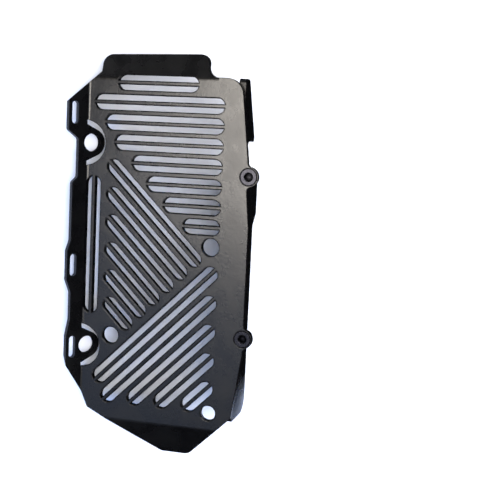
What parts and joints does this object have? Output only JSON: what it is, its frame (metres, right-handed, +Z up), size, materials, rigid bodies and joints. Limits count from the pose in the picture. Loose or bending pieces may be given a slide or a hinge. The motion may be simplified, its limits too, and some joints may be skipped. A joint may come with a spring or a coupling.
{
  "type": "motorcycle radiator guard",
  "caption": "Folded sheet guard with fields of split slots, slotted outer flange, mounting ears and a screwed-on inner bracket, for one side radiator of a motorcycle.",
  "frame": {"origin": "centre of the footprint on the surface that the guard lies on", "axes": "+Y along the guard to its top tab, +X to the inner side with the bracket, +Z up, face upwards"},
  "size_m": [0.1386, 0.285, 0.0533],
  "materials": {
    "guard_coat": "satin black powder coat",
    "bracket_coat": "satin black powder coat",
    "screw_steel": "black oxide"
  },
  "bodies": {
    "root": {"front_guard": "guard_coat", "inner_bracket": "bracket_coat", "bracket_screws": "screw_steel"}
  },
  "joints": []
}
